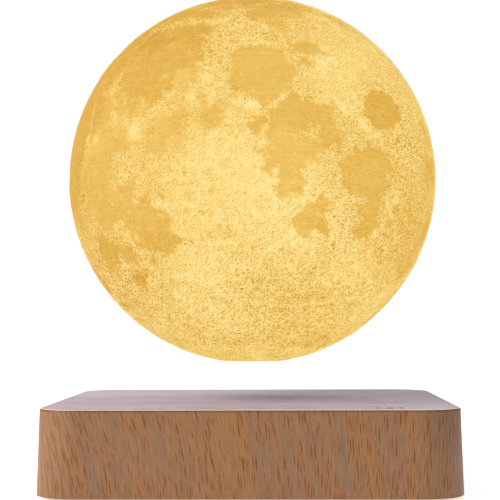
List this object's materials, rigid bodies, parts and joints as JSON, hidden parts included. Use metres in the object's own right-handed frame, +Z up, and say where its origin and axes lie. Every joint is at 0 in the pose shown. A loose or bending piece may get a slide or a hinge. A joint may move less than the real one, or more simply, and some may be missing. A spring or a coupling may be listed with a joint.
{
  "type": "levitating lamp",
  "caption": "Glowing moon-shaped ball that floats above a square wooden base, held up by magnets and fed by coils.",
  "frame": {"origin": "on the table, under the middle of the base", "axes": "+Z up along the axis on which the moon floats and turns; -Y is the front, as in the picture; +X is to its right; the power socket faces +Y"},
  "size_m": [0.1568, 0.1568, 0.1974],
  "materials": {
    "wood": "satin",
    "printed_moon": "matte",
    "white_plastic": "satin",
    "black_plastic": "matte",
    "rubber": "matte",
    "steel": "satin",
    "nickel": "polished",
    "copper": "satin",
    "magnet_black": "matte",
    "circuit_board": "satin",
    "white_board": "satin",
    "led_lens": "gloss",
    "diffuser_white": "satin",
    "capacitor_can": "satin"
  },
  "bodies": {
    "base": {"base_housing": "wood", "bottom_cover": "black_plastic", "foot_1": "rubber", "foot_2": "rubber", "foot_3": "rubber", "foot_4": "rubber", "cover_screw_1": "steel", "cover_screw_2": "steel", "cover_screw_3": "steel", "cover_screw_4": "steel", "control_board": "circuit_board", "supply_capacitor": "capacitor_can", "driver_chip_1": "black_plastic", "driver_chip_2": "black_plastic", "microcontroller": "black_plastic", "dc_jack": "black_plastic", "dc_jack_pin": "nickel", "magnet_tray": "black_plastic", "tray_screw_1": "steel", "tray_screw_2": "steel", "tray_screw_3": "steel", "tray_screw_4": "steel", "ring_magnet": "magnet_black", "steering_coil_1": "copper", "steering_coil_2": "copper", "steering_coil_3": "copper", "steering_coil_4": "copper", "coil_core_1": "steel", "coil_core_2": "steel", "coil_core_3": "steel", "coil_core_4": "steel", "hall_board": "circuit_board", "hall_sensor_1": "black_plastic", "hall_sensor_2": "black_plastic", "hall_sensor_3": "black_plastic", "coil_ferrite": "magnet_black", "transmit_coil": "copper", "transmit_lead_1": "copper", "transmit_lead_2": "copper", "touch_pad": "copper", "touch_lead": "copper"},
    "magnet": {"levitation_magnet": "nickel", "magnet_back_plate": "steel"},
    "moon": {"moon_shell": "printed_moon", "moon_cap": "white_plastic", "cap_screw_1": "steel", "cap_screw_2": "steel", "cap_screw_3": "steel", "receive_coil": "copper", "receiver_board": "white_board", "led_1": "led_lens", "led_2": "led_lens", "led_3": "led_lens", "led_4": "led_lens", "led_5": "led_lens", "led_6": "led_lens", "led_diffuser": "diffuser_white", "receiver_capacitor": "capacitor_can", "receiver_chip": "black_plastic"}
  },
  "joints": [
    {"name": "moon_lift", "type": "slide", "parent": "base", "child": "magnet", "axis": [0, 0, 1], "range_m": [-0.0151, 0.12], "stiffness_N_per_m": 120, "springref_m": 0.02265},
    {"name": "moon_spin", "type": "hinge", "parent": "magnet", "child": "moon", "pos_m": [0, 0, 0.1224], "axis": [0, 0, 1], "continuous": true}
  ]
}
